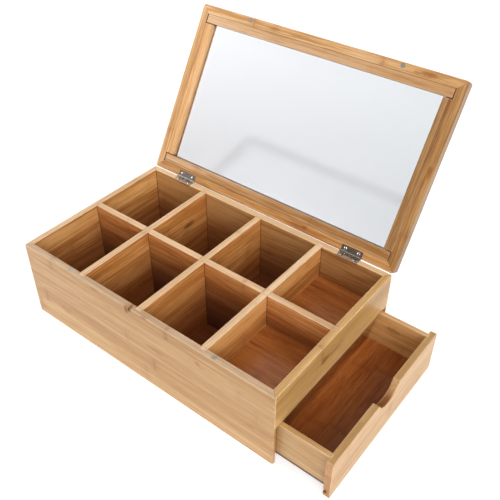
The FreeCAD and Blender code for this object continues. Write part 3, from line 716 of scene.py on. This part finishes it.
DRAWER_BOARDS = (
    Board("drawer_front", "y", "z", 19.0, **DRAWER, depth_shade=0.3, scoop=True, ends=0.9, groove=True),
    Board("drawer_near_side", "x", "z", 20.0, **DRAWER, depth_shade=0.3, foot=2.0, fade=even(0.87, 0.86, 0.80)),
    Board(
        # painted light: the inner face lighter all over
        "drawer_far_side", "x", "z", 21.0, **DRAWER, depth_shade=0.0, inner_shading=even(1.26, 1.24, 1.25),
        knots=((187.5, DRAWER_SIDE, 36.7, 9.0, 4.0, 0.45),),
    ),
    Board("drawer_back", "y", "z", 22.0, **DRAWER, depth_shade=0.3),
    Board(
        "drawer_bottom", "y", "x", 23.0, **PANEL, gloss=0.06, contrast=1.25, dark_edge="y",
        # painted shade: darker towards the drawer's front and its near side, lighter by the end panel
        fade=(
            ("x", 166.0, 223.0, (1.14, 1.08, 1.04), (0.52, 0.45, 0.41)),
            ("y", -85.0, -5.0, (0.64, 0.54, 0.54), (1.0, 1.0, 1.0)),
        ),
    ),
)

for board in CASE_BOARDS + LID_BOARDS + BEADS + DRAWER_BOARDS:
    board.make()


# Pane and metal

# The pane's tint, deeper to the right and towards the hinges: painted shade
PANE_LEFT = (0.875, 0.895, 0.935, 1)
PANE_RIGHT = (0.715, 0.755, 0.790, 1)
PANE_LOW_SHADE = (0.83, 0.82, 0.815, 1)
SMEAR_GAIN = (0.90, 0.91, 0.92, 1)
PANE_SHADOW = (0.90, 0.92, 0.94, 1)
PANE_HIGH, PANE_LOW = 240.0, 120.0  # heights on the open lid between which painted shade deepens the pane's tone
GLASS_IOR = 1.49
SMEAR_ROUGHNESS = 0.006


def clear_pane():
    """Glass with faint smears and dust, and painted shade that deepens its tone to the right and towards the
    hinges.
    """
    material, g, output = new_material("clear_pane")
    place = g.place()
    x, _, z = g.split(place)
    smear = g.noise(place, 22.0, detail=4.0, roughness=0.6)
    dust = g.noise(place, 900.0, detail=1.0)
    smeared = g.ramp(smear, 0.45, 0.75, 0.0, SMEAR_ROUGHNESS)
    rough = g.math("ADD", smeared, g.ramp(dust, 0.70, 0.80, 0.0, SMEAR_ROUGHNESS))
    shaded_tint = g.mix(g.ramp(x, -WINDOW_X * MM, WINDOW_X * MM, smooth=False), PANE_LEFT, PANE_RIGHT)
    toward_hinge = g.ramp(z, PANE_HIGH * MM, PANE_LOW * MM, smooth=False)
    shaded_tint = g.mix(toward_hinge, shaded_tint, g.tinted(shaded_tint, PANE_LOW_SHADE))
    tint = g.mix(g.ramp(smear, 0.3, 0.7, 0.0, 0.10), shaded_tint, g.tinted(shaded_tint, SMEAR_GAIN))
    glass = g.node(
        "ShaderNodeBsdfPrincipled",
        {"Base Color": tint, "Roughness": rough, "IOR": GLASS_IOR, "Transmission Weight": 1.0},
    )
    clear = g.node("ShaderNodeBsdfTransparent", {"Color": PANE_SHADOW})
    shadow = g.node("ShaderNodeLightPath").outputs["Is Shadow Ray"]
    both = g.node("ShaderNodeMixShader", {0: shadow, 1: glass.outputs[0], 2: clear.outputs[0]})
    g.put(output.inputs["Surface"], both.outputs[0])
    dress("lid_pane", material)


LONG_SCRATCHES = (400.0, 2600.0, 2600.0)
SCRATCH_RELIEF = 0.08 * MM


def metal(name, tone, rough, parts, marks=0.10, bump=0.12, scratches=LONG_SCRATCHES):
    """Plated metal, clouded and scratched. marks is how much its roughness varies."""
    material, g, output = new_material(name)
    place = g.place()
    cloud = g.noise(place, 240.0)
    scratch = g.noise(place, scratches, roughness=0.7)
    dull = [0.72 * part for part in tone]
    colour = g.mix(g.ramp(cloud, 0.35, 0.75), (*tone, 1), (*dull, 1))
    roughness = g.swing(scratch, marks, g.swing(cloud, marks, rough))
    uneven = g.node("ShaderNodeBump", {"Strength": bump, "Distance": SCRATCH_RELIEF, "Height": scratch})
    shader = g.node(
        "ShaderNodeBsdfPrincipled",
        {"Base Color": colour, "Roughness": roughness, "Metallic": 1.0, "Normal": uneven.outputs[0]},
    )
    g.put(output.inputs["Surface"], shader.outputs[0])
    for part in parts:
        dress(part, material)


clear_pane()
HINGES = ("hinge_left_", "hinge_right_")
MAGNETS = [body + "_magnet_" + side for side in ("left", "right") for body in ("case", "lid")]
SCREWS = [hinge + body + "_screws" for hinge in HINGES for body in ("case", "lid")]
PINS = [hinge + "pin" for hinge in HINGES]
metal("nickel_case_leaf", (0.80, 0.79, 0.78), 0.17, [hinge + "case_leaf" for hinge in HINGES], bump=0.45)
# the lid leaves' warmer tone: partly a painted reflection of the wood around them
metal("nickel_lid_leaf", (0.72, 0.69, 0.65), 0.24, [hinge + "lid_leaf" for hinge in HINGES], bump=0.45)
metal("nickel_screw", (0.80, 0.79, 0.77), 0.10, SCREWS + PINS)
metal("magnet_plate", (0.50, 0.52, 0.49), 0.50, MAGNETS, marks=0.2, scratches=900.0)


# Stage, light and camera

FLOOR_REACH = 9000.0
FLOOR_Z = -0.3
PAPER = (0.65, 0.65, 0.65, 1)
PAPER_CLOUD = (0.635, 0.637, 0.64, 1)
PAPER_GLOW = 0.53


def make_stage():
    """A plain sheet of pale paper just below the box, faintly lit from below."""
    square = ((-1, -1), (1, -1), (1, 1), (-1, 1))
    corners = [(x * FLOOR_REACH * MM, y * FLOOR_REACH * MM, FLOOR_Z * MM) for x, y in square]
    mesh = bpy.data.meshes.new("studio_floor")
    mesh.from_pydata(corners, [], [(0, 1, 2, 3)])
    floor = bpy.data.objects.new("studio_floor", mesh)
    bpy.context.scene.collection.objects.link(floor)
    material, g, output = new_material("studio_paper")
    cloud = g.noise(g.place(), 3.0, detail=2.0)
    paper = g.node(
        "ShaderNodeBsdfPrincipled",
        {
            "Base Color": g.mix(cloud, PAPER, PAPER_CLOUD),
            "Roughness": 0.9,
            "Specular IOR Level": 0.1,
            "Emission Color": (1, 1, 1, 1),
            "Emission Strength": PAPER_GLOW,
        },
    )
    g.put(output.inputs["Surface"], paper.outputs[0])
    mesh.materials.append(material)


# Large soft lamps around the box: direction, tightness and strength of each
SOFT_LAMPS = (
    ((0.769, -0.480, 0.423), 16.0, 5.7),  # right of the camera
    ((-0.978, 0.0, 0.208), 8.0, 4.6),  # left
    ((-0.407, 0.235, 0.883), 14.0, 0.35),  # above, from behind
    ((0.847, 0.180, 0.500), 16.0, 1.2),  # right
    ((0.522, 0.668, 0.530), 16.0, 0.4),  # right, from behind
    ((-0.474, 0.612, 0.633), 30.0, 0.9),  # backdrop that the polish reflects
)
DIM_ROOM = (0.11, 0.082, 0.06, 1)
HIGH_LAMP_TOWARD = Vector((0.189, -0.495, 0.848))
HIGH_LAMP_STRENGTH = 1.0
HIGH_LAMP_WIDTH = 3.5  # degrees across


def make_light():
    """A dim room with soft lamps, and one high lamp."""
    world = bpy.data.worlds.new("studio")
    world.use_nodes = True
    world.node_tree.nodes.clear()
    g = Graph(world.node_tree)
    way = g.node("ShaderNodeTexCoord").outputs["Generated"]
    total = 0.0
    for direction, tight, strength in SOFT_LAMPS:
        toward = g.vector("DOT_PRODUCT", way, Vector(direction).normalized(), out=1)
        lobe = g.math("POWER", g.greater(toward, 0.0), tight)
        total = g.math("MULTIPLY_ADD", lobe, strength, total)
    dim_room = g.node("ShaderNodeBackground", {"Color": DIM_ROOM, "Strength": 1.0})
    soft_lamps = g.node("ShaderNodeBackground", {"Color": (1.0, 1.0, 1.0, 1), "Strength": total})
    both = g.node("ShaderNodeAddShader", {0: dim_room.outputs[0], 1: soft_lamps.outputs[0]})
    output = g.node("ShaderNodeOutputWorld")
    g.put(output.inputs["Surface"], both.outputs[0])
    bpy.context.scene.world = world

    lamp = bpy.data.lights.new("high_lamp", "SUN")
    lamp.energy = HIGH_LAMP_STRENGTH
    lamp.angle = math.radians(HIGH_LAMP_WIDTH)
    high = bpy.data.objects.new("high_lamp", lamp)
    bpy.context.scene.collection.objects.link(high)
    high.rotation_mode = "QUATERNION"
    high.rotation_quaternion = HIGH_LAMP_TOWARD.to_track_quat("Z", "Y")


# Camera, as fitted to the photo's straight edges
CAMERA_PLACE = Vector((380.04, -410.76, 566.28)) * MM
CAMERA_RIGHT = Vector((0.7879, 0.6158, 0.0054))
CAMERA_AHEAD = Vector((-0.4740, 0.6121, -0.6330)).normalized()
SENSOR_WIDTH = 36.0
FOCAL_LENGTH = 49.304
NEAREST, FARTHEST = 10.0, 50000.0


def make_camera():
    lens = bpy.data.cameras.new("camera")
    lens.sensor_width = SENSOR_WIDTH
    lens.lens = FOCAL_LENGTH
    lens.clip_start = NEAREST * MM
    lens.clip_end = FARTHEST * MM
    camera = bpy.data.objects.new("camera", lens)
    bpy.context.scene.collection.objects.link(camera)
    bpy.context.scene.camera = camera
    right = (CAMERA_RIGHT - CAMERA_AHEAD * CAMERA_RIGHT.dot(CAMERA_AHEAD)).normalized()
    up = right.cross(CAMERA_AHEAD)
    turn = Matrix((right, up, -CAMERA_AHEAD)).transposed().to_4x4()
    camera.matrix_world = Matrix.Translation(CAMERA_PLACE) @ turn


make_stage()
make_light()
make_camera()
bpy.context.scene.view_settings.view_transform = "Standard"
